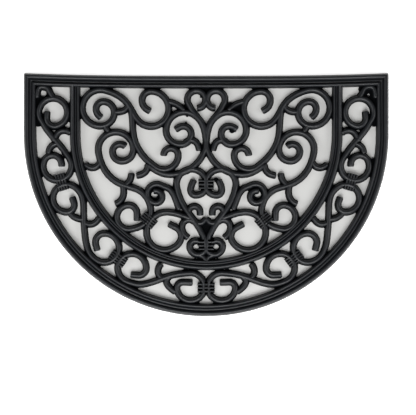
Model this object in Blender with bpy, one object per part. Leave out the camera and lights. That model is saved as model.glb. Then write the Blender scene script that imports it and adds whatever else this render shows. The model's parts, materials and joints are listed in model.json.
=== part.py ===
"""Half moon openwork rubber mat with scrollwork, moulded in one piece and lying flat.

The straight edge runs along X at the back, the round edge faces -Y and the reeds and
scroll bars stand up from the flat underside at z = 0. Sizes in the tables are millimetres.
"""
import math
from collections import namedtuple

import bmesh
import bpy

MM = 0.001

WIDTH = 600.0
DEPTH = 400.0
ROUND_RADIUS = WIDTH / 2
BACK_EDGE_Y = DEPTH / 2
ROUND_CENTRE_Y = ROUND_RADIUS - DEPTH / 2
BACK_EDGE_DIP = 4.5
BACK_EDGE_POWER = 3

FRAME_WIDTH = 21.0
BAND_RADIUS = 215.5
BAND_TOP_Y = 180.5
BACK_EDGE_PIECES = 8

SCROLL_BASE = 11.4
SCROLL_SHOULDER = 5.8
SCROLL_SHOULDER_Z = 6.2
SCROLL_HEIGHT = 8.0
SPUR_HEIGHT = 7.3
SPUR_TOP = 3.4
RIB_HEIGHT = 7.2
RIB_VALLEY_Z = 4.4
WEB_HEIGHT = 2.0

FRAME_SAGITTA = 0.4
SCROLL_SAGITTA = 0.65
STEM_STEPS_PER_RADIAN = 2.0
FLAT_ANGLE = math.radians(1)
WELD_GAP = 0.00002
SMOOTH_ANGLE = math.radians(32)

Section = namedtuple("Section", "across z")
Turn = namedtuple("Turn", "radius sweep")
Eye = namedtuple("Eye", "x y entry turns tip")
Via = namedtuple("Via", "x y heading")
Bar = namedtuple("Bar", "name kind stations")
Collar = namedtuple("Collar", "name x y angle length ribs pitch")
Web = namedtuple("Web", "name x y radius_x radius_y")

# Reeded sections, from the outer edge to the inner one: crests, grooves and a low middle reed.
FRAME_SECTION = (
    Section(-10.5, 0.0), Section(-9.1, 6.0), Section(-6.3, 9.0), Section(-3.2, 4.4),
    Section(-1.0, 6.6), Section(1.2, 4.0), Section(5.1, 8.8), Section(8.8, 6.0), Section(10.5, 0.0),
)
BAND_SECTION = (
    Section(-9.0, 0.0), Section(-7.3, 6.0), Section(-5.4, 8.5), Section(-3.2, 4.2),
    Section(-1.4, 6.6), Section(0.4, 4.0), Section(3.9, 8.5), Section(7.2, 6.0), Section(9.0, 0.0),
)

# An eye is a curl seen from above: the centre of its ring, the bearing at which the stem
# meets the ring, then each arc inwards as a radius and a sweep, anticlockwise positive.
EYES = {
    "upper_ring": Eye(-251.5, 135.0, 205, (Turn(23.5, -280), Turn(13.5, -110)), 10.5),
    "side_ring": Eye(-244.5, 47.0, 30, (Turn(23.5, -230), Turn(15.0, -160)), 4.0),
    "flank_ring": Eye(-229.0, -6.0, 55, (Turn(23.0, 215), Turn(12.3, 110)), 9.5),
    "low_ring": Eye(-167.0, -87.5, -115, (Turn(24.0, 205), Turn(15.5, 105)), 11.5),
    "foot_ring": Eye(-122.0, -120.5, -110, (Turn(23.5, -250), Turn(12.0, -94)), 13.0),
    "centre_ring": Eye(-25.5, -151.5, 100, (Turn(22.5, -270), Turn(11.0, -102)), 14.5),
    "spiral_left": Eye(-173.5, 142.5, 75, (Turn(30.0, 195), Turn(22.5, 90), Turn(18.0, 90),
                                           Turn(12.0, 90), Turn(15.5, 47)), 5.5),
    "spiral_right": Eye(-90.5, 141.0, -130, (Turn(29.0, 220), Turn(15.0, 90), Turn(17.5, 60)), 6.0),
    "cradle": Eye(-69.5, 64.5, -125, (Turn(23.5, 125), Turn(12.0, 180)), 1.0),
    "inner_spiral": Eye(-36.0, 106.0, 60, (Turn(30.0, 120), Turn(24.0, 90), Turn(17.5, 90),
                                           Turn(13.0, 90), Turn(15.0, 35)), 6.0),
    "heart": Eye(-16.0, 156.0, 200, (Turn(15.0, -200), Turn(14.0, -85)), 1.5),
    "lyre": Eye(-24.0, 17.0, 190, (Turn(25.0, -190), Turn(18.0, -90), Turn(8.5, -90),
                                   Turn(23.0, -25)), 8.0),
    "lyre_foot": Eye(-13.5, -85.0, 10, (Turn(13.5, -190), Turn(9.5, -90), Turn(13.0, -40)), 1.5),
    "snail": Eye(-81.0, 1.0, 60, (Turn(16.0, 120), Turn(14.5, 90), Turn(10.0, 90),
                                  Turn(10.0, 85)), 5.0),
    "left_spiral": Eye(-148.5, 74.0, 190, (Turn(29.0, -190), Turn(19.0, -90), Turn(15.5, -90),
                                           Turn(12.5, -90), Turn(12.0, -40)), 2.0),
    "left_hook": Eye(-127.0, -37.0, -80, (Turn(20.0, -185), Turn(14.0, -95)), 12.5),
    "big_ring": Eye(-64.5, -62.0, 85, (Turn(33.5, 95), Turn(29.5, 150), Turn(16.5, 92)), 14.0),
    "comma": Eye(-28.0, -53.0, 75, (Turn(12.0, 105), Turn(20.0, 50)), 5.0),
    "bud": Eye(-20.0, -28.5, 200, (Turn(9.5, -200),), 4.5),
}

# Bars of the left half. A bar runs smoothly through its stations, which are eyes by name
# and single places with a heading in degrees; the right half is its mirror image.
BARS = (
    Bar("outer_upper", "scroll", ("upper_ring", "side_ring")),
    Bar("outer_side", "scroll", ("flank_ring", Via(-201.5, -19, -90), Via(-199, -68.5, -84),
                                      "low_ring")),
    Bar("outer_lower", "scroll", ("foot_ring", Via(-104.5, -147.5, 8), "centre_ring")),
    Bar("back_scroll", "scroll", ("spiral_left", Via(-128.5, 148.5, -54), "spiral_right")),
    Bar("cradle", "scroll", (Via(-124.5, 144.5, -75), Via(-120.5, 106.5, -88), "cradle")),
    Bar("sling", "scroll", (Via(-94.5, 48, -35), Via(-59, 33, 2), Via(-2, 73.5, 70),
                            Via(0, 89, 88))),
    Bar("inner_spiral", "scroll", (Via(0, 85, 93), "inner_spiral")),
    Bar("heart", "scroll", (Via(0, 100, 95), "heart")),
    Bar("lyre", "scroll", ("lyre", Via(-29, -30, -52), "lyre_foot")),
    Bar("snail", "scroll", (Via(-44.5, -25, 100), Via(-51, -5, 108), Via(-59.5, 8.5, 135), "snail")),
    Bar("left_scroll", "scroll", ("left_spiral", Via(-136.5, 16, -20), Via(-106, 4.5, -40),
                                       Via(-91, -24, -85), "left_hook")),
    Bar("big_ring", "scroll", (Via(-26.5, -39, 157), "big_ring")),
    Bar("comma", "spur", (Via(-18.5, -45.5, 150), "comma")),
    Bar("bud", "spur", (Via(0, -39, -130), Via(-10, -47, 180), "bud")),
    Bar("spur_back", "spur", (Via(-128, 149.5, -95), Via(-150.5, 136, 175))),
    Bar("neck", "spur", (Via(-167, 114, -60), Via(-160.5, 103, -60))),
    Bar("spur_band", "spur", (Via(-174, 54.5, -110), Via(-199, 50.5, 130))),
    Bar("spur_up", "spur", (Via(-133.5, 15.5, 30), Via(-123, 35.5, 92))),
    Bar("spur_cradle", "spur", (Via(-96, 50.5, -85), Via(-115, 31.5, 182))),
    Bar("spur_down", "spur", (Via(-136.5, 15, -78), Via(-150, -15.5, -165))),
    Bar("spur_spirals", "spur", (Via(-64, 152.5, -5), Via(-36, 138, -50))),
    Bar("spur_sling", "spur", (Via(-36, 84, 40), Via(-25, 89.5, 0), Via(-11, 72, -82))),
    Bar("spur_upper_band", "spur", (Via(-251, 87, 72), Via(-235, 105.5, 5), Via(-222, 101, -38))),
    Bar("spur_upper_ring", "spur", (Via(-244.5, 84, 190), Via(-258.5, 67, -85))),
    Bar("spur_flank_ring", "spur", (Via(-200.5, -40.5, 180), Via(-224, -29, 120))),
    Bar("spur_flank_band", "spur", (Via(-199, -45.5, -40), Via(-175, -37, 60))),
    Bar("spur_foot_band", "spur", (Via(-64.5, -137, 192), Via(-73.5, -113, 45))),
    Bar("spur_foot_ring", "spur", (Via(-59, -135, -160), Via(-49.5, -160, -28))),
    Bar("centre_bracket", "spur", (Via(-16.5, -98.5, -3), Via(0.5, -110.5, -75))),
    Bar("corner_loop", "spur", (Via(-250.5, 158.5, 130), Via(-258, 171, 112),
                                     Via(-269, 177, 180), Via(-277.5, 158.5, -90))),
)

# Ribbed collars where two rings meet, with their ribs along the line through both rings.
COLLARS = (
    Collar("collar_side", -237.4, 20.5, -74, 28, 4, 4.4),
    Collar("collar_low", -144.8, -105.0, -36, 29, 4, 4.4),
    Collar("collar_hook", -94.6, -42.2, -40, 26, 4, 4.4),
    Collar("collar_lyre", 0.0, 16.9, 0, 25, 3, 5.7),
    Collar("collar_lyre_foot", 0.0, -83.5, 0, 25, 3, 5.7),
    Collar("collar_centre", 0.0, -152.8, 0, 28, 3, 5.7),
)

# Thin webs that close the small corners between bars.
WEBS = (
    Web("web_lyre", 0.0, -55.5, 6.0, 7.0),
    Web("web_lyre_foot", 0.0, -97.5, 5.0, 5.0),
)


def clear_scene():
    """Removes the objects of the start-up scene."""
    for obj in list(bpy.data.objects):
        bpy.data.objects.remove(obj, do_unlink=True)


def new_collection(name):
    """Returns a new collection linked to the scene."""
    coll = bpy.data.collections.new(name)
    bpy.context.scene.collection.children.link(coll)
    return coll


def back_dip(x):
    """Hollow of the back edge at x: nothing at the corners, the full dip at the middle."""
    return BACK_EDGE_DIP * (1 - abs(2 * x / WIDTH) ** BACK_EDGE_POWER)


def arc_steps(radius, sweep, sagitta):
    """Steps that keep a chord within the sagitta of an arc of the radius, sweep in radians."""
    step = 2 * math.acos(max(0.0, 1 - sagitta / radius))
    return max(1, math.ceil(abs(sweep) / step))


def round_run(radius):
    """Half circle of the round edge, from the left side through the front to the right side."""
    steps = arc_steps(radius, math.pi, FRAME_SAGITTA)
    angles = [math.pi + i * math.pi / steps for i in range(steps + 1)]
    return [(radius * math.cos(a), ROUND_CENTRE_Y + radius * math.sin(a)) for a in angles]


def frame_path():
    """Middle line of the frame: the hollow back edge from right to left, then the round edge."""
    inset = FRAME_WIDTH / 2
    side = WIDTH / 2 - inset
    xs = [side * (1 - 2 * i / BACK_EDGE_PIECES) for i in range(BACK_EDGE_PIECES + 1)]
    return [(x, BACK_EDGE_Y - inset - back_dip(x)) for x in xs] + round_run(side)


def band_path():
    """Middle line of the inner band, two straight legs and a half circle."""
    return [(-BAND_RADIUS, BAND_TOP_Y)] + round_run(BAND_RADIUS) + [(BAND_RADIUS, BAND_TOP_Y)]


def eye_path(eye):
    """Points of an eye from its entry inwards, and the heading at its entry in radians."""
    ring = eye.turns[0]
    side = math.copysign(1, ring.sweep)
    bearing = math.radians(eye.entry)
    x = eye.x + ring.radius * math.cos(bearing)
    y = eye.y + ring.radius * math.sin(bearing)
    heading = bearing + side * math.pi / 2
    entry_heading = heading
    points = [(x, y)]
    for turn in eye.turns:
        reach = side * turn.radius
        centre_x, centre_y = x - reach * math.sin(heading), y + reach * math.cos(heading)
        sweep = math.radians(turn.sweep)
        steps = arc_steps(turn.radius, sweep, SCROLL_SAGITTA)
        start = heading
        for i in range(1, steps + 1):
            heading = start + sweep * i / steps
            x, y = centre_x + reach * math.sin(heading), centre_y - reach * math.cos(heading)
            points.append((x, y))
    if eye.tip:
        points.append((x + eye.tip * math.cos(heading), y + eye.tip * math.sin(heading)))
    return points, entry_heading


def stem(start, start_heading, end, end_heading):
    """Smooth run between two places with headings, without its first point."""
    turn = abs((end_heading - start_heading + math.pi) % (2 * math.pi) - math.pi)
    pull = math.dist(start, end) * (1 + 0.12 * turn * turn)
    chord = math.atan2(end[1] - start[1], end[0] - start[0])
    bend = sum(abs((h - chord + math.pi) % (2 * math.pi) - math.pi)
               for h in (start_heading, end_heading))
    steps = max(2, math.ceil(bend * STEM_STEPS_PER_RADIAN))
    run = []
    for i in range(1, steps + 1):
        t = i / steps
        weights = (2 * t**3 - 3 * t**2 + 1, t**3 - 2 * t**2 + t, 3 * t**2 - 2 * t**3, t**3 - t**2)
        start_pull = (pull * math.cos(start_heading), pull * math.sin(start_heading))
        end_pull = (pull * math.cos(end_heading), pull * math.sin(end_heading))
        run.append(tuple(
            weights[0] * start[k] + weights[1] * start_pull[k]
            + weights[2] * end[k] + weights[3] * end_pull[k] for k in (0, 1)))
    return run


def bar_path(stations):
    """Middle line of a bar through its stations."""
    points = []
    heading = 0.0
    for place in stations:
        if isinstance(place, str):
            inwards, entry_heading = eye_path(EYES[place])
        else:
            inwards, entry_heading = [(place.x, place.y)], math.radians(place.heading)
        if not points:
            points = inwards[::-1]
            leaves_eye = isinstance(place, str)
            heading = entry_heading + (math.pi if leaves_eye else 0.0)
            continue
        points += stem(points[-1], heading, inwards[0], entry_heading) + inwards[1:]
        heading = entry_heading
    return points


def bar_section(kind):
    """Section of a scroll, with shoulders and a crest, or of a spur, with a narrow flat top."""
    base, shoulder, top = SCROLL_BASE / 2, SCROLL_SHOULDER / 2, SPUR_TOP / 2
    if kind == "spur":
        return (Section(-base, 0), Section(-top, SPUR_HEIGHT),
                Section(top, SPUR_HEIGHT), Section(base, 0))
    return (Section(-base, 0), Section(-shoulder, SCROLL_SHOULDER_Z), Section(0, SCROLL_HEIGHT),
            Section(shoulder, SCROLL_SHOULDER_Z), Section(base, 0))


def comb_section(ribs, pitch):
    """Section of a collar: a row of ribs with valleys between them."""
    half = ribs * pitch / 2
    section = [Section(-half, 0)]
    for i in range(2 * ribs - 1):
        section.append(Section((i + 1) * pitch / 2 - half, RIB_VALLEY_Z if i % 2 else RIB_HEIGHT))
    return section + [Section(half, 0)]


def plate_section(width, height):
    """Section of a flat plate."""
    return (Section(-width / 2, 0), Section(-width / 2, height),
            Section(width / 2, height), Section(width / 2, 0))


def poly_curve(name, points, cyclic):
    """Returns a flat curve with straight pieces through points in millimetres."""
    data = bpy.data.curves.new(name, "CURVE")
    data.dimensions = "2D"
    data.fill_mode = "NONE"
    spline = data.splines.new("POLY")
    spline.points.add(len(points) - 1)
    for point, (x, y) in zip(spline.points, points):
        point.co = (x * MM, y * MM, 0, 1)
    spline.use_cyclic_u = cyclic
    return data


def swept_bar(name, path, section, collection, ring=False):
    """Adds a closed bar: the section swept along the path, as a mesh object."""
    profile = bpy.data.objects.new(name + "_section", poly_curve(name, section, True))
    data = poly_curve(name, path, ring)
    data.bevel_mode = "OBJECT"
    data.bevel_object = profile
    data.use_fill_caps = not ring
    sweep = bpy.data.objects.new(name + "_sweep", data)
    for obj in (profile, sweep):
        bpy.context.scene.collection.objects.link(obj)
    bpy.context.view_layer.update()
    evaluated = sweep.evaluated_get(bpy.context.evaluated_depsgraph_get())
    mesh = bpy.data.meshes.new_from_object(evaluated)
    for obj in (profile, sweep):
        bpy.data.objects.remove(obj, do_unlink=True)
    close_mesh(mesh)
    bar = bpy.data.objects.new(name, mesh)
    collection.objects.link(bar)
    return bar


def close_mesh(mesh):
    """Welds the caps of a swept mesh and turns its faces outwards."""
    work = bmesh.new()
    work.from_mesh(mesh)
    bmesh.ops.remove_doubles(work, verts=work.verts, dist=WELD_GAP)
    bmesh.ops.recalc_face_normals(work, faces=work.faces)
    work.to_mesh(mesh)
    work.free()


def as_guide(obj):
    """Marks an object as one that only shapes another."""
    obj.hide_render = True
    obj.display_type = "WIRE"


def add_collar(collar, guides):
    """Adds a collar, its ribs running along the line through both rings."""
    angle = math.radians(collar.angle)
    reach_x, reach_y = (collar.length / 2 * f(angle) for f in (math.cos, math.sin))
    ends = [(collar.x - reach_x, collar.y - reach_y), (collar.x + reach_x, collar.y + reach_y)]
    as_guide(swept_bar(collar.name, ends, comb_section(collar.ribs, collar.pitch), guides))


def add_web(web, guides):
    """Adds a thin web as a flat plate."""
    ends = [(web.x, web.y - web.radius_y), (web.x, web.y + web.radius_y)]
    as_guide(swept_bar(web.name, ends, plate_section(2 * web.radius_x, WEB_HEIGHT), guides))


def rubber_material():
    """Near-black moulded rubber."""
    material = bpy.data.materials.new("moulded_rubber")
    material.use_nodes = True
    shader = material.node_tree.nodes["Principled BSDF"]
    shader.inputs["Base Color"].default_value = (0.016, 0.017, 0.018, 1.0)
    shader.inputs["Roughness"].default_value = 0.62
    shader.inputs["Metallic"].default_value = 0.0
    return material


def add_mat(parts, guides):
    """Adds the mat: the frame, with every bar, collar and web joined to it as one solid."""
    mat = swept_bar("half_moon_mat", frame_path(), FRAME_SECTION, parts, ring=True)
    as_guide(swept_bar("inner_band", band_path(), BAND_SECTION, guides))
    for bar in BARS:
        path = bar_path(bar.stations)
        section = bar_section(bar.kind)
        for side, label in ((1, "left"), (-1, "right")):
            mirrored = [(side * x, y) for x, y in path]
            as_guide(swept_bar(f"{bar.name}_{label}", mirrored, section, guides))
    for collar in COLLARS:
        add_collar(collar, guides)
        if collar.x:
            add_collar(collar._replace(name=collar.name + "_right", x=-collar.x,
                                       angle=-collar.angle), guides)
    for web in WEBS:
        add_web(web, guides)

    union = mat.modifiers.new("moulded_together", "BOOLEAN")
    union.operation = "UNION"
    union.solver = "EXACT"
    union.operand_type = "COLLECTION"
    union.collection = guides
    union.use_self = True

    flat = mat.modifiers.new("flat_underside", "DECIMATE")
    flat.decimate_type = "DISSOLVE"
    flat.angle_limit = FLAT_ANGLE

    mat.data.materials.append(rubber_material())
    mat.data.shade_smooth()
    mat.data.set_sharp_from_angle(angle=SMOOTH_ANGLE)
    return mat


def main():
    """Builds the mat."""
    clear_scene()
    parts = new_collection("half_moon_rug")
    guides = new_collection("moulded_bars")
    add_mat(parts, guides)


main()
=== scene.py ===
"""Looks of the half moon openwork rubber mat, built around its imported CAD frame.

The mat is one rubber moulding that lies flat: a reeded frame, a reeded inner band, scroll bars
with curled ends, spurs, ribbed collars and thin webs. Sizes in the tables are millimetres, in
the same frame as the CAD part, and every mesh is written in metres.
"""
import json
import logging
import math
from dataclasses import dataclass, field
from enum import Enum

import bmesh
import bpy
import numpy as np
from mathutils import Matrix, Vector
from mathutils.kdtree import KDTree

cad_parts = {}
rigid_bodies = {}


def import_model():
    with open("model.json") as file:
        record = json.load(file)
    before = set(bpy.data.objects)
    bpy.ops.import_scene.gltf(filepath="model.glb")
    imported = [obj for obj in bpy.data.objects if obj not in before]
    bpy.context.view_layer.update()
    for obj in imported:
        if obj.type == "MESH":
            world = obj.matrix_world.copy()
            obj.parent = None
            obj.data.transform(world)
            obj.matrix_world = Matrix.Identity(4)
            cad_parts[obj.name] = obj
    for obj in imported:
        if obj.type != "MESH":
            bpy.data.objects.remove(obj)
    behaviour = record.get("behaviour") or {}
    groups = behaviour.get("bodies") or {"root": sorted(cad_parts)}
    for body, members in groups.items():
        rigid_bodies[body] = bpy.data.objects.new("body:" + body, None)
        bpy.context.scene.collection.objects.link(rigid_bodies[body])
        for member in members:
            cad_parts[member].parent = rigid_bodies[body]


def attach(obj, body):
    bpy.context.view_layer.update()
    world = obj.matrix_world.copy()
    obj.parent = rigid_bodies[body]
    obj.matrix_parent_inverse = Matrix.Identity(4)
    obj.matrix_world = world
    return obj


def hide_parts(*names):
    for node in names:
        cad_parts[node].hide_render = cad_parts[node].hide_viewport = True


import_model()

LOG = logging.getLogger("half_moon_mat")
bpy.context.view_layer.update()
MM = 0.001

TIP_DROP = 0.3
TIP_CLEAR = 1.1
TIP_ANGLES = tuple(math.radians(a) for a in (90, 60, 30, 0))
REED_EDGE_ANGLE = math.radians(22)
MITRE_LIMIT = 0.6
SAME_PLACE = 1e-6

Point = tuple[float, float]


class BarKind(Enum):
    """What a bar of the scrollwork is."""

    SCROLL = "scroll"
    SPUR = "spur"


@dataclass(frozen=True)
class Turn:
    """One arc of a curl: its radius and its sweep in degrees, anticlockwise positive."""

    radius: float
    sweep: float


@dataclass(frozen=True)
class Eye:
    """A curl seen from above: ring centre, bearing of its entry, its arcs inwards and its tip."""

    x: float
    y: float
    entry: float
    turns: tuple[Turn, ...]
    tip: float


@dataclass(frozen=True)
class Via:
    """A place that a bar runs through, with its heading in degrees."""

    x: float
    y: float
    heading: float


@dataclass(frozen=True)
class Bar:
    """A bar of the left half, running smoothly through eyes by name and places."""

    name: str
    kind: BarKind
    stations: tuple[str | Via, ...]


@dataclass(frozen=True)
class Collar:
    """A ribbed collar where two rings meet, with their crests this far from its middle."""

    name: str
    x: float
    y: float
    angle: float
    length: float
    ribs: int
    pitch: float
    crest: float


@dataclass(frozen=True)
class Reed:
    """One rounded reed of a section: edges across, crest height and the heights at its edges."""

    left: float
    right: float
    crest: float
    left_z: float
    right_z: float


@dataclass(frozen=True)
class Spot:
    """A round patch of the low fill, with a hole at its middle if a radius is given for it."""

    x: float
    y: float
    radius: float
    hole: float = 0.0


SCROLL = BarKind.SCROLL
SPUR = BarKind.SPUR

EYES: dict[str, Eye] = {
    "upper_ring": Eye(-251.5, 135.0, 205, (Turn(23.5, -280), Turn(13.5, -110)), 10.5),
    "side_ring": Eye(-244.5, 47.0, 30, (Turn(23.5, -230), Turn(15.0, -160)), 4.0),
    "flank_ring": Eye(-229.0, -6.0, 55, (Turn(23.0, 215), Turn(12.3, 110)), 9.5),
    "low_ring": Eye(-167.0, -87.5, -115, (Turn(24.0, 205), Turn(15.0, 105)), 10.6),
    "foot_ring": Eye(-122.0, -120.5, -110, (Turn(23.5, -250), Turn(12.0, -94)), 13.0),
    "centre_ring": Eye(-25.5, -151.5, 93, (Turn(23.0, -263), Turn(10.0, -102)), 15.8),
    "spiral_left": Eye(-173.5, 142.5, 75, (Turn(30.0, 195), Turn(22.5, 90), Turn(18.0, 90),
                                           Turn(12.0, 90), Turn(15.5, 47)), 5.5),
    "spiral_right": Eye(-90.5, 141.0, -130, (Turn(29.0, 220), Turn(15.0, 90),
                                             Turn(17.5, 60)), 6.0),
    "cradle": Eye(-69.5, 64.5, -125, (Turn(23.5, 125), Turn(12.0, 180)), 1.0),
    "inner_spiral": Eye(-36.0, 106.0, 60, (Turn(30.0, 120), Turn(24.0, 90), Turn(17.5, 90),
                                           Turn(13.0, 90), Turn(15.0, 35)), 6.0),
    "heart": Eye(-16.0, 156.0, 200, (Turn(15.0, -200), Turn(14.0, -85)), 1.5),
    "lyre": Eye(-24.0, 17.0, 190, (Turn(25.0, -190), Turn(18.0, -90), Turn(8.5, -90),
                                   Turn(23.0, -25)), 8.0),
    "lyre_foot": Eye(-13.5, -85.0, 10, (Turn(13.5, -190), Turn(9.5, -90), Turn(13.0, -40)), 1.5),
    "snail": Eye(-81.0, 1.0, 60, (Turn(16.0, 120), Turn(14.5, 90), Turn(10.0, 90),
                                  Turn(10.0, 85)), 5.0),
    "left_spiral": Eye(-148.5, 74.0, 190, (Turn(29.0, -190), Turn(19.0, -90), Turn(15.5, -90),
                                           Turn(12.5, -90), Turn(12.0, -40)), 2.0),
    "left_hook": Eye(-127.0, -37.0, -80, (Turn(20.0, -185), Turn(14.0, -95)), 12.5),
    "big_ring": Eye(-64.5, -62.0, 85, (Turn(33.5, 95), Turn(29.5, 150), Turn(16.5, 92)), 14.0),
    "comma": Eye(-28.0, -53.0, 75, (Turn(12.0, 105), Turn(20.0, 50)), 5.0),
    "bud": Eye(-19.5, -28.5, 200, (Turn(9.5, -200),), 6.0),
}

BARS: tuple[Bar, ...] = (
    Bar("outer_upper", SCROLL, ("upper_ring", "side_ring")),
    Bar("outer_side", SCROLL, ("flank_ring", Via(-201.5, -19, -90), Via(-199, -68.5, -84),
                               "low_ring")),
    Bar("outer_lower", SCROLL, ("foot_ring", Via(-104.5, -147.5, 8), Via(-58, -133, 15),
                                "centre_ring")),
    Bar("back_scroll", SCROLL, ("spiral_left", Via(-128.5, 148.5, -54), "spiral_right")),
    Bar("cradle", SCROLL, (Via(-124.5, 144.5, -75), Via(-120.5, 106.5, -88), "cradle")),
    Bar("sling", SCROLL, (Via(-94.5, 48, -35), Via(-59, 33, 2), Via(-2, 73.5, 70),
                          Via(0, 89, 88))),
    Bar("inner_spiral", SCROLL, (Via(0, 85, 93), "inner_spiral")),
    Bar("heart", SCROLL, (Via(0, 100, 95), "heart")),
    Bar("lyre", SCROLL, ("lyre", Via(-29, -30, -52), "lyre_foot")),
    Bar("snail", SCROLL, (Via(-44.5, -25, 100), Via(-51, -5, 108), Via(-59.5, 8.5, 135), "snail")),
    Bar("left_scroll", SCROLL, ("left_spiral", Via(-136.5, 16, -20), Via(-106, 4.5, -40),
                                Via(-91, -24, -85), "left_hook")),
    Bar("big_ring", SCROLL, (Via(-26.5, -39, 157), "big_ring")),
    Bar("comma", SPUR, (Via(-18.5, -45.5, 150), "comma")),
    Bar("bud", SPUR, (Via(0, -39, -130), Via(-10, -47, 180), "bud")),
    Bar("spur_back", SPUR, (Via(-128, 149.5, -95), Via(-150.5, 136, 175))),
    Bar("neck", SPUR, (Via(-167, 114, -60), Via(-160.5, 103, -60))),
    Bar("spur_band", SPUR, (Via(-174, 54.5, -110), Via(-199, 50.5, 130))),
    Bar("spur_up", SPUR, (Via(-133.5, 15.5, 30), Via(-123, 35.5, 92))),
    Bar("spur_cradle", SPUR, (Via(-96, 50.5, -85), Via(-115, 31.5, 182))),
    Bar("spur_down", SPUR, (Via(-136.5, 15, -78), Via(-150, -15.5, -165))),
    Bar("spur_spirals", SPUR, (Via(-64, 152.5, -5), Via(-36, 138, -50))),
    Bar("spur_sling", SPUR, (Via(-36, 84, 40), Via(-25, 89.5, 0), Via(-11, 72, -82))),
    Bar("spur_upper_band", SPUR, (Via(-251, 87, 72), Via(-235, 105.5, 5), Via(-222, 101, -38))),
    Bar("spur_upper_ring", SPUR, (Via(-244.5, 84, 190), Via(-258.5, 67, -85))),
    Bar("spur_flank_ring", SPUR, (Via(-200.5, -40.5, 180), Via(-224, -29, 120))),
    Bar("spur_flank_band", SPUR, (Via(-199, -45.5, -40), Via(-175, -37, 60))),
    Bar("spur_foot_band", SPUR, (Via(-64.5, -137, 192), Via(-73.5, -113, 45))),
    Bar("spur_foot_ring", SPUR, (Via(-59, -135, -160), Via(-49.5, -160, -28))),
    Bar("centre_bracket", SPUR, (Via(-16.5, -98.5, -3), Via(0.5, -110.5, -75))),
    Bar("corner_loop", SPUR, (Via(-250.5, 158.5, 130), Via(-258, 171, 112),
                              Via(-269, 177, 180), Via(-277.5, 158.5, -90))),
)

COLLARS: tuple[Collar, ...] = (
    Collar("collar_side", -237.4, 20.5, -74, 28, 4, 4.4, 5.5),
    Collar("collar_low", -144.8, -105.0, -36, 29, 4, 4.4, 5.5),
    Collar("collar_hook", -94.6, -42.2, -40, 26, 4, 4.4, 5.5),
    Collar("collar_lyre", 0.0, 16.9, 0, 25, 3, 5.7, 1.0),
    Collar("collar_lyre_foot", 0.0, -83.5, 0, 25, 3, 5.7, 1.0),
    Collar("collar_centre", 0.0, -152.8, 0, 28, 3, 5.7, 5.0),
)


def arc_steps(radius: float, sweep: float, sagitta: float) -> int:
    """Counts the steps that keep an arc's chords close to it.

    Args:
        radius: Radius of the arc.
        sweep: Angle of the arc in radians.
        sagitta: Most that a chord may stand off the arc.

    Returns:
        The number of steps, at least one.
    """
    step = 2 * math.acos(max(0.0, 1 - sagitta / radius))
    return max(1, math.ceil(abs(sweep) / step))


def rounded_section(reeds: tuple[Reed, ...], half_base: float, segments: int) -> list[Point]:
    """Draws a section of rounded reeds side by side on drafted flanks.

    Args:
        reeds: The reeds from left to right, each starting where the last one ends.
        half_base: Half the width at the floor.
        segments: Segments of each reed's rounded top.

    Returns:
        Points from the left foot over the reeds to the right foot.
    """
    points = [(-half_base, 0.0)]
    low, edge = math.sin(REED_EDGE_ANGLE), math.cos(REED_EDGE_ANGLE)
    for reed in reeds:
        middle, half = (reed.left + reed.right) / 2, (reed.right - reed.left) / 2
        for i in range(segments + 1):
            angle = math.pi - REED_EDGE_ANGLE - i / segments * (math.pi - 2 * REED_EDGE_ANGLE)
            edge_z = reed.left_z if i < segments / 2 else reed.right_z
            rise = (math.sin(angle) - low) / (1 - low)
            point = (middle + half * math.cos(angle) / edge, edge_z + (reed.crest - edge_z) * rise)
            if math.dist(point, points[-1]) > SAME_PLACE:
                points.append(point)
    return points + [(half_base, 0.0)]


def rounded_ends(line: np.ndarray, half: float,
                 tip: float) -> tuple[np.ndarray, np.ndarray, np.ndarray]:
    """Rounds a bar's two ends in plan and slopes them down.

    Args:
        line: The bar's middle line.
        half: Half its width at the floor.
        tip: Radius of the rounding.

    Returns:
        The line with places for the ends, and the width and the height there as shares.
    """
    from_ends = np.minimum(np.linalg.norm(line - line[0], axis=1),
                           np.linalg.norm(line - line[-1], axis=1))
    middle = line[from_ends > tip * TIP_CLEAR]
    ends = []
    for end, near in ((line[0], middle[0]), (line[-1], middle[-1])):
        inwards = (near - end) / np.linalg.norm(near - end)
        ends.append([end + inwards * tip * (1 - math.sin(a)) for a in TIP_ANGLES])
    places = np.vstack((ends[0], middle, ends[1][::-1]))
    pinch = np.array([1 - math.cos(a) for a in TIP_ANGLES])
    taper = np.concatenate((pinch, np.zeros(len(middle)), pinch[::-1]))
    return places, 1 - taper * tip / half, 1 - taper * TIP_DROP


def placed(name: str, data: bpy.types.ID) -> bpy.types.Object:
    """Adds an object to the scene.

    Args:
        name: Its name.
        data: Its mesh, light or camera.

    Returns:
        The object.
    """
    obj = bpy.data.objects.new(name, data)
    bpy.context.scene.collection.objects.link(obj)
    return obj


def solid(name: str, verts: list[tuple[float, float, float]],
          faces: list[tuple[int, ...]]) -> bpy.types.Object:
    """Adds a closed mesh to the scene with its faces outwards.

    Args:
        name: Name of the new object.
        verts: Its vertices in metres.
        faces: Its faces, as places in that list.

    Returns:
        The object.
    """
    mesh = bpy.data.meshes.new(name)
    mesh.from_pydata(verts, [], faces)
    work = bmesh.new()
    work.from_mesh(mesh)
    bmesh.ops.recalc_face_normals(work, faces=work.faces)
    work.to_mesh(mesh)
    work.free()
    return placed(name, mesh)


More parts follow.
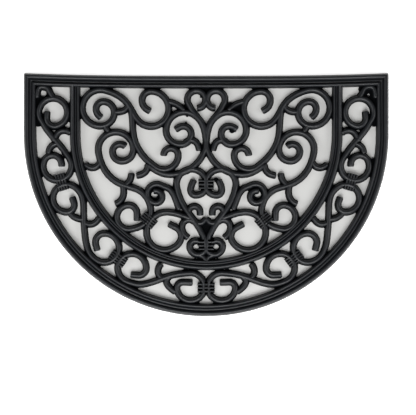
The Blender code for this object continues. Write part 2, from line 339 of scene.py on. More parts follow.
def slab(name: str, flat: bmesh.types.BMesh, low: float, high: float) -> bpy.types.Object:
    """Thickens flat faces into a closed slab.

    Args:
        name: Name of the new object.
        flat: The faces, which are used up.
        low: Height of the underside in millimetres.
        high: Height of the top in millimetres.

    Returns:
        The object.
    """
    flat.verts.index_update()
    count = len(flat.verts)
    verts = [(v.co.x, v.co.y, z * MM) for z in (low, high) for v in flat.verts]
    faces = []
    for face in flat.faces:
        ring = [v.index for v in face.verts]
        faces += [tuple(ring[::-1]), tuple(count + i for i in ring)]
    for edge in flat.edges:
        if edge.is_boundary:
            a, b = (v.index for v in edge.verts)
            faces.append((a, b, count + b, count + a))
    flat.free()
    return solid(name, verts, faces)


def sweep(name: str, path: list[Point], section: list[Point], closed: bool = False,
          tip: float = 0.0) -> bpy.types.Object:
    """Sweeps a section along a flat path as one closed mesh.

    Args:
        name: Name of the new object.
        path: Middle line in millimetres.
        section: Points across and up, from the left foot to the right foot.
        closed: Whether the path runs back into its start.
        tip: Radius of the rounding of both ends.

    Returns:
        The new object, linked to the scene.
    """
    line = np.array(path)
    profile = np.array(section)
    widths = heights = np.ones(len(line))
    if tip:
        line, widths, heights = rounded_ends(line, section[-1][0], tip)
    ahead = np.roll(line, -1, axis=0) - line
    ahead /= np.linalg.norm(ahead, axis=1)[:, None]
    behind = np.roll(ahead, 1, axis=0)
    if not closed:
        ahead[-1], behind[0] = behind[-1], ahead[0]
    tangent = ahead + behind
    tangent /= np.linalg.norm(tangent, axis=1)[:, None]
    stretch = 1 / np.clip((tangent * ahead).sum(axis=1), MITRE_LIMIT, 1.0)
    normal = np.column_stack((-tangent[:, 1], tangent[:, 0])) * stretch[:, None]

    count = len(profile)
    verts = []
    for (x, y), (nx, ny), wide, high in zip(line, normal, widths, heights):
        for across, z in profile:
            verts.append(((x - nx * across * wide) * MM, (y - ny * across * wide) * MM,
                          z * high * MM))
    faces = []
    rings = len(line)
    for i in range(rings if closed else rings - 1):
        a, b = i * count, (i + 1) % rings * count
        for k in range(count):
            m = (k + 1) % count
            faces.append((a + k, b + k, b + m, a + m))
    if not closed:
        faces.append(tuple(range(count)))
        faces.append(tuple(reversed(range((rings - 1) * count, rings * count))))
    return solid(name, verts, faces)


@dataclass
class Outline:
    """The mat's outline and the reeded frame and band that follow it."""

    width: float = 600.0
    depth: float = 400.0
    back_dip: float = 4.5
    back_power: float = 3.0
    frame_width: float = 21.0
    band_width: float = 18.0
    band_radius: float = 215.5
    band_top_y: float = 180.5
    back_pieces: int = 40
    sagitta: float = 0.05
    segments: int = 10
    corner_radius: float = 3.5
    corner_pieces: int = 6
    cutter_over: float = 1.0
    cutter_top: float = 10.0
    frame_reeds: tuple[Reed, ...] = (Reed(-9.4, -3.2, 9.0, 5.0, 4.4),
                                     Reed(-3.2, 1.2, 5.8, 4.4, 4.2),
                                     Reed(1.2, 9.0, 8.8, 4.2, 5.0))
    band_reeds: tuple[Reed, ...] = (Reed(-7.6, -3.2, 8.5, 4.8, 4.2),
                                    Reed(-3.2, 0.4, 5.8, 4.2, 4.0),
                                    Reed(0.4, 7.4, 8.5, 4.0, 4.8))

    @property
    def round_centre_y(self) -> float:
        """Centre of the round edge along Y."""
        return self.width / 2 - self.depth / 2

    def round_run(self, radius: float) -> list[Point]:
        """Draws the half circle of the round edge.

        Args:
            radius: Its radius.

        Returns:
            Points from the left side through the front to the right side.
        """
        steps = arc_steps(radius, math.pi, self.sagitta)
        angles = [math.pi + i * math.pi / steps for i in range(steps + 1)]
        return [(radius * math.cos(a), self.round_centre_y + radius * math.sin(a))
                for a in angles]

    def frame_path(self) -> list[Point]:
        """Draws the middle line of the frame.

        Returns:
            The hollow back edge from right to left, then the round edge.
        """
        inset = self.frame_width / 2
        side = self.width / 2 - inset
        run = []
        for i in range(self.back_pieces + 1):
            x = side * (1 - 2 * i / self.back_pieces)
            dip = self.back_dip * (1 - abs(2 * x / self.width) ** self.back_power)
            run.append((x, self.depth / 2 - inset - dip))
        return run + self.round_run(side)

    def band_path(self) -> list[Point]:
        """Draws the middle line of the band, two straight legs and a half circle."""
        return ([(-self.band_radius, self.band_top_y)] + self.round_run(self.band_radius)
                + [(self.band_radius, self.band_top_y)])

    def corner_cutter(self, side: int) -> bpy.types.Object:
        """Builds a cutter that leaves a back corner of the frame round.

        Args:
            side: -1 for the left corner, 1 for the right one.

        Returns:
            The cutter's object.
        """
        far, radius, over = self.width / 2, self.corner_radius, self.cutter_over
        top = self.depth / 2
        ring = [(far + over, top - radius), (far + over, top + over), (far - radius, top + over)]
        for i in range(self.corner_pieces + 1):
            angle = math.pi / 2 * (1 - i / self.corner_pieces)
            ring.append((far - radius + radius * math.cos(angle),
                         top - radius + radius * math.sin(angle)))
        work = bmesh.new()
        work.faces.new([work.verts.new((side * x * MM, y * MM, 0.0)) for x, y in ring])
        return slab("corner_cutter", work, -over, self.cutter_top)

    def build(self) -> tuple[bpy.types.Object, bpy.types.Object]:
        """Builds the frame and the band.

        Returns:
            The frame's object and the band's object.
        """
        reeded_frame = sweep("reeded_frame", self.frame_path(), rounded_section(
            self.frame_reeds, self.frame_width / 2, self.segments), True)
        carve([reeded_frame], [self.corner_cutter(side) for side in (-1, 1)])
        band = sweep("inner_band", self.band_path(), rounded_section(
            self.band_reeds, self.band_width / 2, self.segments))
        return reeded_frame, band


@dataclass
class Scrollwork:
    """Scroll bars and spurs, drawn for the left half and mirrored to the right."""

    base: float = 11.8
    scroll_half: float = 3.1
    scroll_shoulder: float = 5.8
    scroll_crest: float = 8.0
    spur_half: float = 2.8
    spur_shoulder: float = 5.2
    spur_crest: float = 7.3
    segments: int = 9
    sagitta: float = 0.07
    stem_steps_per_radian: float = 6.5
    stem_pull: float = 0.12
    tip: float = 2.4

    def section(self, kind: BarKind) -> list[Point]:
        """Draws a bar's section.

        Args:
            kind: Scroll or spur.

        Returns:
            Points from foot to foot.
        """
        half, crest, edge = ((self.spur_half, self.spur_crest, self.spur_shoulder)
                             if kind is BarKind.SPUR else
                             (self.scroll_half, self.scroll_crest, self.scroll_shoulder))
        return rounded_section((Reed(-half, half, crest, edge, edge),), self.base / 2,
                               self.segments)

    def eye_path(self, eye: Eye) -> tuple[list[Point], float]:
        """Draws a curl.

        Args:
            eye: The curl.

        Returns:
            Its points from the entry inwards, and the heading at its entry in radians.
        """
        ring = eye.turns[0]
        side = math.copysign(1, ring.sweep)
        bearing = math.radians(eye.entry)
        x = eye.x + ring.radius * math.cos(bearing)
        y = eye.y + ring.radius * math.sin(bearing)
        heading = bearing + side * math.pi / 2
        entry_heading = heading
        points = [(x, y)]
        for turn in eye.turns:
            reach = side * turn.radius
            centre_x, centre_y = x - reach * math.sin(heading), y + reach * math.cos(heading)
            arc = math.radians(turn.sweep)
            steps = arc_steps(turn.radius, arc, self.sagitta)
            start = heading
            for i in range(1, steps + 1):
                heading = start + arc * i / steps
                x = centre_x + reach * math.sin(heading)
                y = centre_y - reach * math.cos(heading)
                points.append((x, y))
        points.append((x + eye.tip * math.cos(heading), y + eye.tip * math.sin(heading)))
        return points, entry_heading

    def stem(self, start: Point, start_heading: float, end: Point,
             end_heading: float) -> list[Point]:
        """Draws a smooth run between two places.

        Args:
            start: Where it starts.
            start_heading: Heading there, in radians.
            end: Where it ends.
            end_heading: Heading there, in radians.

        Returns:
            Its points without the first.
        """
        turn = abs((end_heading - start_heading + math.pi) % (2 * math.pi) - math.pi)
        pull = math.dist(start, end) * (1 + self.stem_pull * turn * turn)
        chord = math.atan2(end[1] - start[1], end[0] - start[0])
        bend = sum(abs((h - chord + math.pi) % (2 * math.pi) - math.pi)
                   for h in (start_heading, end_heading))
        steps = max(4, math.ceil(bend * self.stem_steps_per_radian))
        run = []
        for i in range(1, steps + 1):
            t = i / steps
            weights = (2 * t**3 - 3 * t**2 + 1, t**3 - 2 * t**2 + t,
                       3 * t**2 - 2 * t**3, t**3 - t**2)
            start_pull = (pull * math.cos(start_heading), pull * math.sin(start_heading))
            end_pull = (pull * math.cos(end_heading), pull * math.sin(end_heading))
            x, y = (weights[0] * start[k] + weights[1] * start_pull[k]
                    + weights[2] * end[k] + weights[3] * end_pull[k] for k in (0, 1))
            run.append((x, y))
        return run

    def bar_path(self, stations: tuple[str | Via, ...]) -> list[Point]:
        """Draws a bar's middle line.

        Args:
            stations: The curls by name and the places that it runs through.

        Returns:
            Its points.
        """
        points: list[Point] = []
        heading = 0.0
        for place in stations:
            if isinstance(place, str):
                inwards, entry_heading = self.eye_path(EYES[place])
            else:
                inwards, entry_heading = [(place.x, place.y)], math.radians(place.heading)
            if not points:
                points = inwards[::-1]
                heading = entry_heading + (math.pi if isinstance(place, str) else 0.0)
                continue
            points += self.stem(points[-1], heading, inwards[0], entry_heading) + inwards[1:]
            heading = entry_heading
        return points

    def paths(self) -> list[tuple[str, BarKind, list[Point]]]:
        """Draws every bar and its mirror image.

        Returns:
            Each one's name, kind and middle line.
        """
        drawn = []
        for bar in BARS:
            path = self.bar_path(bar.stations)
            for side, label in ((1, "left"), (-1, "right")):
                mirrored = [(side * x, y) for x, y in path]
                drawn.append((f"{bar.name}_{label}", bar.kind, mirrored))
        return drawn

    def build(self) -> list[bpy.types.Object]:
        """Builds every bar and its mirror image.

        Returns:
            The bars' objects.
        """
        return [sweep(name, path, self.section(kind), tip=self.tip)
                for name, kind, path in self.paths()]


@dataclass
class CollarSet:
    """Ribbed collars: thin ribs across two rings, with grooves cut deep between them."""

    ringed: tuple[str, ...] = ("outer_upper", "outer_side", "outer_lower", "lyre",
                               "left_scroll", "big_ring")
    pad_z: float = 1.0
    pad_draft: float = 0.3
    rib_z: float = 7.5
    rib_half: float = 1.3
    dome: float = 0.7
    segments: int = 6
    comb_z: float = 9.5
    comb_top: float = 11.0
    comb_over: float = 1.0
    clear_inside: float = 2.3
    clear_outside: float = 2.1

    def section(self, collar: Collar) -> list[Point]:
        """Draws a collar's section, a row of ribs on its pad.

        Args:
            collar: The collar.

        Returns:
            Points from foot to foot.
        """
        half = collar.ribs * collar.pitch / 2
        points = [(-half, 0.0), (-half + self.pad_draft, self.pad_z)]
        for i in range(collar.ribs):
            middle = (i + 0.5) * collar.pitch - half
            points.append((middle - self.rib_half, self.pad_z))
            for k in range(self.segments + 1):
                share = 2 * k / self.segments - 1
                points.append((middle + share * self.rib_half,
                               self.rib_z - self.dome * share ** 2))
            points.append((middle + self.rib_half, self.pad_z))
        return points + [(half - self.pad_draft, self.pad_z), (half, 0.0)]

    def comb(self, collar: Collar) -> list[Point]:
        """Draws the section of a comb whose teeth cut the grooves beside the ribs.

        Args:
            collar: The collar.

        Returns:
            Points from the comb's top left corner round to its top right one.
        """
        half = (collar.ribs + 1) * collar.pitch / 2 - self.rib_half
        points = [(-half, self.comb_top)]
        for i in range(collar.ribs + 1):
            middle = (i - collar.ribs / 2) * collar.pitch
            reach = collar.pitch / 2 - self.rib_half
            if i:
                points.append((middle - reach, self.comb_z))
            points += [(middle - reach, self.pad_z), (middle + reach, self.pad_z)]
            if i < collar.ribs:
                points.append((middle + reach, self.comb_z))
        return points + [(half, self.comb_top)]

    def swept(self, collar: Collar, side: int, run: Point, section: list[Point],
              name: str) -> bpy.types.Object:
        """Sweeps a section along a stretch of a collar.

        Args:
            collar: The collar.
            side: 1 for the left half or the middle, -1 for the mirror image.
            run: Where the stretch starts and ends, from the collar's middle.
            section: The section.
            name: Name of the new object.

        Returns:
            The new object.
        """
        angle = math.radians(collar.angle)
        path = [(side * (collar.x + r * math.cos(angle)), collar.y + r * math.sin(angle))
                for r in run]
        return sweep(name, path, section)

    def places(self) -> list[tuple[Collar, int]]:
        """Lists every collar with its side."""
        return [(collar, side) for collar in COLLARS for side in ((1, -1) if collar.x else (1,))]

    def build(self) -> list[bpy.types.Object]:
        """Builds the collars of both halves.

        Returns:
            The collars' objects.
        """
        return [self.swept(collar, side, (-collar.length / 2, collar.length / 2),
                           self.section(collar), f"{collar.name}_{side}")
                for collar, side in self.places()]

    def combs(self) -> list[bpy.types.Object]:
        """Builds the combs that cut the grooves, clear of the two rings' crests.

        Returns:
            The combs' objects.
        """
        made = []
        for collar, side in self.places():
            near = collar.crest + self.clear_outside
            far = collar.length / 2 + self.comb_over
            middle = collar.crest - self.clear_inside
            runs = [(-far, -near), (near, far)] + ([(-middle, middle)] if middle > 0 else [])
            made += [self.swept(collar, side, run, self.comb(collar),
                                f"{collar.name}_comb_{side}_{i}") for i, run in enumerate(runs)]
        return made


@dataclass
class WedgeFill:
    """Low fill in the narrow corners between bars, where the mould's cutter could not reach."""

    radius: float = 0.8
    inset: float = 0.25
    height: float = 2.0
    pitch: float = 1.0
    reach_inside: float = 2.2
    margin: float = 8.0
    corner_least: float = 0.1
    flat_angle: float = 0.01
    spots: tuple[Spot, ...] = (
        Spot(0.0, -55.5, 7.5), Spot(0.0, -97.5, 5.5), Spot(0.0, 172.5, 6.0),
        Spot(-267.7, 166.3, 13.0, 5.0), Spot(-276.0, 152.0, 7.0), Spot(-276.0, 117.0, 5.5),
        Spot(-275.0, 55.0, 5.0), Spot(-84.8, 0.2, 13.0, 5.2), Spot(-16.4, -86.0, 9.0, 4.2),
    )
    one_sided_spots: tuple[Spot, ...] = (
        Spot(16.5, 24.5, 4.0), Spot(40.5, 146.5, 5.5), Spot(42.5, 105.5, 4.6),
        Spot(-89.7, 165.5, 2.0), Spot(-31.3, 129.5, 2.0), Spot(-33.0, 118.5, 1.8),
        Spot(-8.5, 160.9, 2.0), Spot(53.0, 141.0, 5.5), Spot(266.9, 163.9, 9.0, 2.2),
        Spot(254.5, 173.5, 4.5),
    )

    def distance_grid(self, lines: list[tuple[list[Point], float]], xs: np.ndarray,
                      ys: np.ndarray) -> np.ndarray:
        """Measures how far each place of a grid lies outside the bars.

        Args:
            lines: Middle lines with half their widths.
            xs: The grid's places along X.
            ys: The grid's places along Y.

        Returns:
            The distances, negative inside a bar, as rows of Y by columns of X.
        """
        grid = np.full((len(ys), len(xs)), np.inf)
        for half in sorted({half for _, half in lines}):
            dots: list[Point] = []
            for line, own_half in lines:
                if own_half == half:
                    dots += dense(line, self.pitch)
            tree = place_tree(dots)
            for row, y in enumerate(ys):
                for col, x in enumerate(xs):
                    away = tree.find((x, y, 0.0))[2] - half
                    if away < grid[row, col]:
                        grid[row, col] = away
        return grid

    def reach_grid(self, away: np.ndarray, xs: np.ndarray, ys: np.ndarray) -> np.ndarray:
        """Measures how far each place lies from where the cutter's centre can go.

        Args:
            away: Distances outside the bars.
            xs: The grid's places along X.
            ys: The grid's places along Y.

        Returns:
            The distances less the cutter's radius, positive in bars and corners.
        """
        over = away - self.radius
        dots = []
        for rows, cols, along_x in ((over[:, :-1], over[:, 1:], True),
                                    (over[:-1, :], over[1:, :], False)):
            for row, col in zip(*np.nonzero((rows > 0) != (cols > 0))):
                a, b = rows[row, col], cols[row, col]
                t = a / (a - b)
                x = xs[col] + (t * self.pitch if along_x else 0.0)
                y = ys[row] + (0.0 if along_x else t * self.pitch)
                dots.append((x, y))
        tree = place_tree(dots)
        reach = np.where(over > 0, -self.radius, 0.0)
        deep = -self.reach_inside - 2 * self.pitch
        near = (over <= 0) & (away > deep)
        for row, col in zip(*np.nonzero(near)):
            reach[row, col] = tree.find((xs[col], ys[row], 0.0))[2] - self.radius
        reach[away <= deep] = self.radius
        return reach

    def build(self, lines: list[tuple[list[Point], float]], width: float,
              depth: float) -> bpy.types.Object:
        """Builds the fill as low plates that run under the bars beside them.

        Args:
            lines: Middle lines with half their widths.
            width: Width of the mat.
            depth: Depth of the mat.

        Returns:
            The plates as one object.
        """
        half_width, half_depth = width / 2 + self.margin, depth / 2 + self.margin
        xs = np.arange(-half_width, half_width + self.pitch, self.pitch)
        ys = np.arange(-half_depth, half_depth + self.pitch, self.pitch)
        away = self.distance_grid(lines, xs, ys)
        level = self.reach_grid(away, xs, ys) - self.inset
        for spot, sides in ([(spot, (1, -1)) for spot in self.spots]
                            + [(spot, (1,)) for spot in self.one_sided_spots]):
            for side in sides:
                reach = np.hypot(xs[None, :] - side * spot.x, ys[:, None] - spot.y)
                patch = spot.radius - reach
                if spot.hole:
                    patch = np.minimum(patch, reach - spot.hole)
                level = np.maximum(level, patch)
        corner = (level > 0) & (away > self.corner_least)
        wanted = corner.copy()
        for _ in range(math.ceil(self.reach_inside / self.pitch)):
            grown = wanted.copy()
            grown[1:] |= wanted[:-1]
            grown[:-1] |= wanted[1:]
            grown[:, 1:] |= wanted[:, :-1]
            grown[:, :-1] |= wanted[:, 1:]
            wanted = grown
        work = bmesh.new()
        places: dict[tuple[float, float], bmesh.types.BMVert] = {}

        def vert(x: float, y: float) -> bmesh.types.BMVert:
            """Makes the vertex at a place, once.

            Args:
                x: The place along X.
                y: The place along Y.

            Returns:
                The vertex.
            """
            key = (round(x, 4), round(y, 4))
            if key not in places:
                places[key] = work.verts.new((x * MM, y * MM, 0.0))
            return places[key]

        for row, col in zip(*np.nonzero(wanted[:-1, :-1])):
            square = [(row, col), (row, col + 1), (row + 1, col + 1), (row + 1, col)]
            outline = clip_square([(xs[c], ys[r], level[r, c]) for r, c in square])
            ring = [vert(x, y) for x, y in outline]
            ring = [v for i, v in enumerate(ring) if v is not ring[i - 1]]
            if len(ring) > 2:
                work.faces.new(ring)
        bmesh.ops.dissolve_limit(work, angle_limit=self.flat_angle, verts=work.verts,
                                 edges=work.edges)
        return slab("wedge_fill", work, 0.0, self.height)


def place_tree(dots: list[Point]) -> KDTree:
    """Builds a search tree of places.

    Args:
        dots: The places.

    Returns:
        The tree.
    """
    tree = KDTree(len(dots))
    for i, (x, y) in enumerate(dots):
        tree.insert((x, y, 0.0), i)
    tree.balance()
    return tree


def dense(line: list[Point], pitch: float) -> list[Point]:
    """Adds places to a line so that none are further apart than the pitch.

    Args:
        line: The line.
        pitch: The most between two places.

    Returns:
        The line with the places added.
    """
    dots: list[Point] = []
    for (x0, y0), (x1, y1) in zip(line, line[1:]):
        steps = max(1, math.ceil(math.dist((x0, y0), (x1, y1)) / pitch))
        dots += [(x0 + (x1 - x0) * i / steps, y0 + (y1 - y0) * i / steps) for i in range(steps)]
    return dots + [line[-1]]


def trimmed(line: list[Point], length: float, pitch: float) -> list[Point]:
    """Leaves out the part of a line within a length of either end.

    Args:
        line: The line.
        length: The length.
        pitch: The most between two places of the rest.

    Returns:
        The rest, at least one place.
    """
    dots = dense(line, pitch)
    kept = [p for p in dots if math.dist(p, line[0]) > length and math.dist(p, line[-1]) > length]
    return kept or [dots[len(dots) // 2]]


def clip_square(corners: list[tuple[float, float, float]]) -> list[Point]:
    """Keeps the part of a square where the level is above zero.

    Args:
        corners: Each corner's place and level.

    Returns:
        The outline that is left, which may be empty.
    """
    outline: list[Point] = []
    for (x0, y0, a), (x1, y1, b) in zip(corners, corners[1:] + corners[:1]):
        if a > 0:
            outline.append((x0, y0))
        if (a > 0) != (b > 0):
            t = a / (a - b)
            outline.append((x0 + t * (x1 - x0), y0 + t * (y1 - y0)))
    return outline


def gathered(name: str, objects: list[bpy.types.Object]) -> bpy.types.Collection:
    """Moves objects out of the scene's own collection into a new one.

    Args:
        name: Name of the new collection.
        objects: The objects.

    Returns:
        The collection.
    """
    made = bpy.data.collections.new(name)
    bpy.context.scene.collection.children.link(made)
    for obj in objects:
        bpy.context.scene.collection.objects.unlink(obj)
        made.objects.link(obj)
    return made


def bake_boolean(body: bpy.types.Object, operands: bpy.types.Collection,
                 operation: str) -> None:
    """Joins a collection's closed meshes to a body, or cuts them out of it.

    Args:
        body: The piece that is changed.
        operands: The other pieces.
        operation: UNION or DIFFERENCE.
    """
    work = body.modifiers.new("bake", "BOOLEAN")
    work.operation = operation
    work.solver = "EXACT"
    work.operand_type = "COLLECTION"
    work.collection = operands
    work.use_self = True
    evaluated = body.evaluated_get(bpy.context.evaluated_depsgraph_get())
    mesh = bpy.data.meshes.new_from_object(evaluated)
    body.modifiers.clear()
    body.data = mesh


def drop(operands: bpy.types.Collection) -> None:
    """Removes a collection and its objects.

    Args:
        operands: The collection.
    """
    for obj in list(operands.objects):
        bpy.data.objects.remove(obj, do_unlink=True)
    bpy.data.collections.remove(operands)


def carve(bodies: list[bpy.types.Object], cutters: list[bpy.types.Object]) -> None:
    """Cuts closed meshes out of each of several pieces.

    Args:
        bodies: The pieces that are cut.
        cutters: The cutters, which are used up.
    """
    operands = gathered("cutters", cutters)
    for body in bodies:
        bake_boolean(body, operands, "DIFFERENCE")
    drop(operands)


NodeTree = bpy.types.NodeTree


def new_group(name: str, inputs: dict[str, float], outputs: tuple[str, ...]) -> NodeTree:
    """Makes an empty shader node group with named sockets.

    Args:
        name: The group's name.
        inputs: Its value inputs with their defaults.
        outputs: Its value outputs.

    Returns:
        The group.
    """
    group = bpy.data.node_groups.new(name, "ShaderNodeTree")
    for socket, value in inputs.items():
        made = group.interface.new_socket(socket, in_out="INPUT", socket_type="NodeSocketFloat")
        made.default_value = value
    for socket in outputs:
        group.interface.new_socket(socket, in_out="OUTPUT", socket_type="NodeSocketFloat")
    group.nodes.new("NodeGroupInput").name = "in"
    group.nodes.new("NodeGroupOutput").name = "out"
    return group


def ranged(nodes: bpy.types.Nodes, low: float, high: float, to_low: float,
           to_high: float) -> bpy.types.Node:
    """Adds a node that maps one range of values onto another.

    Args:
        nodes: The material's nodes.
        low: Start of the range that comes in.
        high: Its end.
        to_low: Start of the range that goes out.
        to_high: Its end.

    Returns:
        The node.
    """
    node = nodes.new("ShaderNodeMapRange")
    for socket, value in (("From Min", low), ("From Max", high), ("To Min", to_low),
                          ("To Max", to_high)):
        node.inputs[socket].default_value = value
    return node


def rubber_grain_group(crumb_share: float = 0.35) -> NodeTree:
    """Builds the grain of moulded rubber: fine pebbles, crumbs and slow mottling.

    Args:
        crumb_share: How much of the height comes from the crumbs.

    Returns:
        The group.
    """
    group = new_group("rubber_grain", {"Grain Scale": 900.0, "Mottle Scale": 45.0},
                      ("Height", "Mottle"))
    nodes, links = group.nodes, group.links
    place = nodes.new("ShaderNodeTexCoord")
    grain = nodes.new("ShaderNodeTexNoise")
    grain.inputs["Detail"].default_value = 3.0
    crumbs = nodes.new("ShaderNodeTexVoronoi")
    mottle = nodes.new("ShaderNodeTexNoise")
    mottle.inputs["Detail"].default_value = 4.0
    mottle.inputs["Roughness"].default_value = 0.6
    for node, socket in ((grain, "Grain Scale"), (crumbs, "Grain Scale"),
                         (mottle, "Mottle Scale")):
        links.new(place.outputs["Object"], node.inputs["Vector"])
        links.new(nodes["in"].outputs[socket], node.inputs["Scale"])
    height = nodes.new("ShaderNodeMix")
    height.data_type = "FLOAT"
    height.inputs["Factor"].default_value = crumb_share
    links.new(grain.outputs["Fac"], height.inputs["A"])
    links.new(crumbs.outputs["Distance"], height.inputs["B"])
    links.new(height.outputs["Result"], nodes["out"].inputs["Height"])
    links.new(mottle.outputs["Fac"], nodes["out"].inputs["Mottle"])
    return group


def shade_and_wear_group() -> NodeTree:
    """Builds the masks of high crests and of low grooves from the height over the floor. The
    finish uses them to paint shade into the low parts and to lighten the crests as rubbed wear.

    Returns:
        The group.
    """
    group = new_group("crest_wear", {"Groove Height": 0.002, "Crest Height": 0.0065},
                      ("Crest", "Groove"))
    nodes, links = group.nodes, group.links
    place = nodes.new("ShaderNodeTexCoord")
    split = nodes.new("ShaderNodeSeparateXYZ")
    links.new(place.outputs["Object"], split.inputs["Vector"])
    crest = nodes.new("ShaderNodeMapRange")
    crest.interpolation_type = "SMOOTHSTEP"
    links.new(split.outputs["Z"], crest.inputs["Value"])
    links.new(nodes["in"].outputs["Groove Height"], crest.inputs["From Min"])
    links.new(nodes["in"].outputs["Crest Height"], crest.inputs["From Max"])
    groove = nodes.new("ShaderNodeMath")
    groove.operation = "SUBTRACT"
    groove.inputs[0].default_value = 1.0
    links.new(crest.outputs["Result"], groove.inputs[1])
    links.new(crest.outputs["Result"], nodes["out"].inputs["Crest"])
    links.new(groove.outputs["Value"], nodes["out"].inputs["Groove"])
    return group


@dataclass(frozen=True)
class RubberFinish:
    """Near-black moulded rubber, with painted shade: darker in the low parts, lighter on the
    crests as rubbed wear.
    """

    name: str
    # deep is painted shade, the colour of the low parts, grooves and fill where shade falls; crest
    # is the tone of the high parts, lighter as rubbed wear.
    deep: tuple[float, float, float] = (0.0017, 0.002, 0.0025)
    crest: tuple[float, float, float] = (0.0098, 0.0112, 0.0137)
    tint_mottle: Point = (0.3, 0.7)
    least_tint: float = 0.55
    gloss_mottle: Point = (0.35, 0.65)
    smooth: float = 0.36
    rough: float = 0.52
    body_sheen: float = 0.03
    crest_sheen: float = 0.72
    sheen_roughness: float = 0.42
    bump: float = 0.00012
    grain_scale: float = 900.0
    mottle_scale: float = 45.0

    def build(self, grain: NodeTree, shade_wear_masks: NodeTree) -> bpy.types.Material:
        """Builds the material.

        Args:
            grain: The rubber grain group.
            shade_wear_masks: The group of height masks that paint shade into the low parts and
                rubbed wear onto the crests.

        Returns:
            The material.
        """
        material = bpy.data.materials.new(self.name)
        material.use_nodes = True
        nodes, links = material.node_tree.nodes, material.node_tree.links
        shader = nodes["Principled BSDF"]
        texture = nodes.new("ShaderNodeGroup")
        texture.node_tree = grain
        texture.inputs["Grain Scale"].default_value = self.grain_scale
        texture.inputs["Mottle Scale"].default_value = self.mottle_scale
        masks = nodes.new("ShaderNodeGroup")
        masks.node_tree = shade_wear_masks

        # Painted shade: the base colour runs from near black in the low parts to the lighter crest
        # tone of rubbed wear, and the mottle varies it at random.
        colour = nodes.new("ShaderNodeMix")
        colour.data_type = "RGBA"
        colour.inputs["A"].default_value = (*self.deep, 1.0)
        colour.inputs["B"].default_value = (*self.crest, 1.0)
        amount = nodes.new("ShaderNodeMath")
        amount.operation = "MULTIPLY"
        lifted = ranged(nodes, *self.tint_mottle, self.least_tint, 1.0)
        links.new(texture.outputs["Mottle"], lifted.inputs["Value"])
        links.new(masks.outputs["Crest"], amount.inputs[0])
        links.new(lifted.outputs["Result"], amount.inputs[1])
        links.new(amount.outputs["Value"], colour.inputs["Factor"])
        links.new(colour.outputs["Result"], shader.inputs["Base Color"])

        shader.inputs["Specular IOR Level"].default_value = self.body_sheen
        shader.inputs["Coat Roughness"].default_value = self.sheen_roughness
        sheen = ranged(nodes, 0.0, 1.0, 0.0, self.crest_sheen)
        links.new(masks.outputs["Crest"], sheen.inputs["Value"])
        links.new(sheen.outputs["Result"], shader.inputs["Coat Weight"])

        gloss = ranged(nodes, *self.gloss_mottle, self.smooth, self.rough)
        links.new(texture.outputs["Mottle"], gloss.inputs["Value"])
        links.new(gloss.outputs["Result"], shader.inputs["Roughness"])

        bump = nodes.new("ShaderNodeBump")
        bump.inputs["Distance"].default_value = self.bump
        links.new(texture.outputs["Height"], bump.inputs["Height"])
        links.new(bump.outputs["Normal"], shader.inputs["Normal"])
        return material


@dataclass(frozen=True)
class PaleFloor:
    """A plain pale studio floor, grey under the mat as painted shade and white around it, where
    its glow is painted light that washes out the mat's cast shadow.
    """

    size: float = 9.0
    around: tuple[float, float, float] = (0.92, 0.92, 0.915)
    # under is painted shade: the floor under the mat is grey, so that it looks shaded through the
    # openings.
    under: tuple[float, float, float] = (0.5, 0.5, 0.49)
    roughness: float = 0.7
    sheen: float = 0.2
    # glow is painted light: the white floor around the mat gives off light of its own, which
    # washes out the mat's cast shadow beside it.
    glow: float = 0.6
    gap: float = 0.0001
    shade_inset: float = 0.011
    shade_pieces: int = 48

    def finish(self, name: str, colour: tuple[float, float, float],
               glow: float) -> bpy.types.Material:
        """Builds one plain tone of the floor.

        Args:
            name: Name of the material.
            colour: Its colour.
            glow: Strength of its own light.

        Returns:
            The material.
        """
        material = bpy.data.materials.new(name)
        material.use_nodes = True
        shader = material.node_tree.nodes["Principled BSDF"]
        shader.inputs["Base Color"].default_value = (*colour, 1.0)
        shader.inputs["Roughness"].default_value = self.roughness
        shader.inputs["Specular IOR Level"].default_value = self.sheen
        shader.inputs["Emission Color"].default_value = (1.0, 1.0, 1.0, 1.0)
        shader.inputs["Emission Strength"].default_value = glow
        return material

    def build(self, outline: Outline) -> None:
        """Builds the floor.

        Args:
            outline: The mat's outline.
        """
        # The grey patch of painted shade follows the outline, a little inside it.
        radius = outline.width * MM / 2 - self.shade_inset
        centre_y = outline.round_centre_y * MM
        back_y = (outline.depth / 2 - outline.back_dip) * MM - self.shade_inset
        shade = [(radius, back_y), (-radius, back_y)]
        for i in range(self.shade_pieces + 1):
            angle = math.pi * (1 + i / self.shade_pieces)
            shade.append((radius * math.cos(angle), centre_y + radius * math.sin(angle)))
        half = self.size / 2
        work = bmesh.new()
        for ring in (shade, [(-half, -half), (half, -half), (half, half), (-half, half)]):
            verts = [work.verts.new((x, y, -self.gap)) for x, y in ring]
            for i, v in enumerate(verts):
                work.edges.new((verts[i - 1], v))
            if ring is shade:
                inner = verts
        bmesh.ops.triangle_fill(work, edges=work.edges[:])
        work.faces.new(inner).material_index = 1
        for face in work.faces:
            if face.normal.z < 0:
                face.normal_flip()
        mesh = bpy.data.meshes.new("studio_floor")
        work.to_mesh(mesh)
        work.free()
        # The white floor around the mat glows as painted light.
        mesh.materials.append(self.finish("white_floor", self.around, self.glow))
        # The grey tone under the mat is painted shade.
        mesh.materials.append(self.finish("pale_grey_floor", self.under, 0.0))
        placed("studio_floor", mesh)


@dataclass(frozen=True)
class SoftLight:
    """A soft rectangular studio light that faces the mat."""

    name: str
    azimuth: float
    elevation: float
    distance: float
    width: float
    height: float
    power: float

    def build(self) -> None:
        """Adds the light."""
        data = bpy.data.lights.new(self.name, "AREA")
        data.shape = "RECTANGLE"
        data.size = self.width
        data.size_y = self.height
        data.energy = self.power
        light = placed(self.name, data)
        azimuth, elevation = math.radians(self.azimuth), math.radians(self.elevation)
        away = Vector((math.sin(azimuth) * math.cos(elevation),
                       -math.cos(azimuth) * math.cos(elevation), math.sin(elevation)))
        light.location = away * self.distance
        light.rotation_euler = away.to_track_quat("Z", "Y").to_euler()


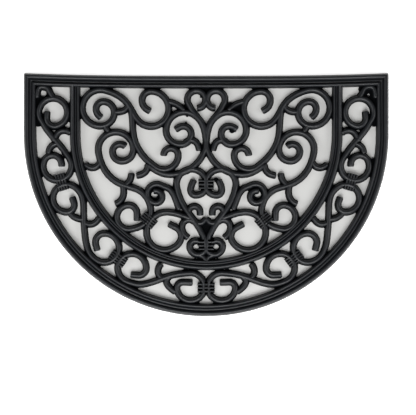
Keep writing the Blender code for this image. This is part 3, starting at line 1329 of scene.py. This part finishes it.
@dataclass(frozen=True)
class Studio:
    """Floor, lights, surroundings and the camera straight above the mat."""

    lights: tuple[SoftLight, ...] = (
        SoftLight("front_softbox", 0, 43, 2.2, 2.4, 1.1, 76.0),
        SoftLight("left_softbox", -80, 30, 2.6, 1.6, 0.8, 25.0),
        SoftLight("right_softbox", 80, 30, 2.6, 1.6, 0.8, 25.0),
    )
    surround: float = 0.15
    lens: float = 100.0
    sensor: float = 36.0
    view_width: float = 0.682
    view_middle: Point = (0.003, -0.0211)
    focus_height: float = 0.006

    def build(self, outline: Outline) -> None:
        """Adds everything around the mat.

        Args:
            outline: The mat's outline.
        """
        PaleFloor().build(outline)
        for light in self.lights:
            light.build()
        world = bpy.data.worlds.new("studio_surround")
        world.use_nodes = True
        world.node_tree.nodes["Background"].inputs["Color"].default_value = (1.0, 1.0, 1.0, 1.0)
        world.node_tree.nodes["Background"].inputs["Strength"].default_value = self.surround
        bpy.context.scene.world = world
        bpy.context.scene.view_settings.view_transform = "Standard"
        data = bpy.data.cameras.new("overhead_camera")
        data.lens = self.lens
        data.sensor_width = self.sensor
        camera = placed("overhead_camera", data)
        height = self.view_width * self.lens / self.sensor
        camera.location = (*self.view_middle, self.focus_height + height)
        bpy.context.scene.camera = camera


@dataclass
class HalfMoonMat:
    """The whole mat as one moulding."""

    outline: Outline = field(default_factory=Outline)
    scrollwork: Scrollwork = field(default_factory=Scrollwork)
    collars: CollarSet = field(default_factory=CollarSet)
    fill: WedgeFill = field(default_factory=WedgeFill)
    sharp_angle: float = 38.0
    underside_limit: float = -0.7

    def fill_lines(self) -> list[tuple[list[Point], float]]:
        """Lists the middle lines that the fill lies between, with half their widths.

        Returns:
            The lines.
        """
        outline, scrollwork = self.outline, self.scrollwork
        ring = outline.frame_path()
        half = scrollwork.base / 2
        lines = [(ring + ring[:1], outline.frame_width / 2),
                 (outline.band_path(), outline.band_width / 2)]
        return lines + [(trimmed(path, half, self.fill.pitch), half)
                        for _, _, path in scrollwork.paths()]

    def build(self) -> bpy.types.Object:
        """Builds the moulding, without its finish.

        Returns:
            The mat's object.
        """
        mat, band = self.outline.build()
        bars = self.scrollwork.build()
        carve([bar for bar in bars if bar.name.rsplit("_", 1)[0] in self.collars.ringed],
              self.collars.combs())
        fill = self.fill.build(self.fill_lines(), self.outline.width, self.outline.depth)
        operands = gathered("moulding_operands", [band, *bars, *self.collars.build(), fill])
        bake_boolean(mat, operands, "UNION")
        drop(operands)
        mat.name = mat.data.name = "moulded_mat"
        mat.data.shade_smooth()
        mat.data.set_sharp_from_angle(angle=math.radians(self.sharp_angle))
        return mat

    def dress(self, mat: bpy.types.Object) -> None:
        """Gives the top and the underside their finishes.

        Args:
            mat: The mat's object.
        """
        grain, shade_wear_masks = rubber_grain_group(), shade_and_wear_group()
        top = RubberFinish("moulded_rubber_top")
        underside = RubberFinish("moulded_rubber_underside", deep=top.crest, smooth=0.5,
                                 rough=0.7, body_sheen=0.3, bump=0.0002, grain_scale=600.0)
        mat.data.materials.clear()
        for finish in (top, underside):
            mat.data.materials.append(finish.build(grain, shade_wear_masks))
        for face in mat.data.polygons:
            face.material_index = 1 if face.normal.z < self.underside_limit else 0


def main() -> None:
    """Builds the mat and its studio, and reports what was made."""
    logging.basicConfig(level=logging.INFO, format="%(message)s")
    design = HalfMoonMat()
    mat = design.build()
    design.dress(mat)
    LOG.info("moulded_mat: %d faces", len(mat.data.polygons))
    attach(mat, "root")
    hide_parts("half_moon_mat")
    Studio().build(design.outline)


if __name__ == "__main__":
    main()
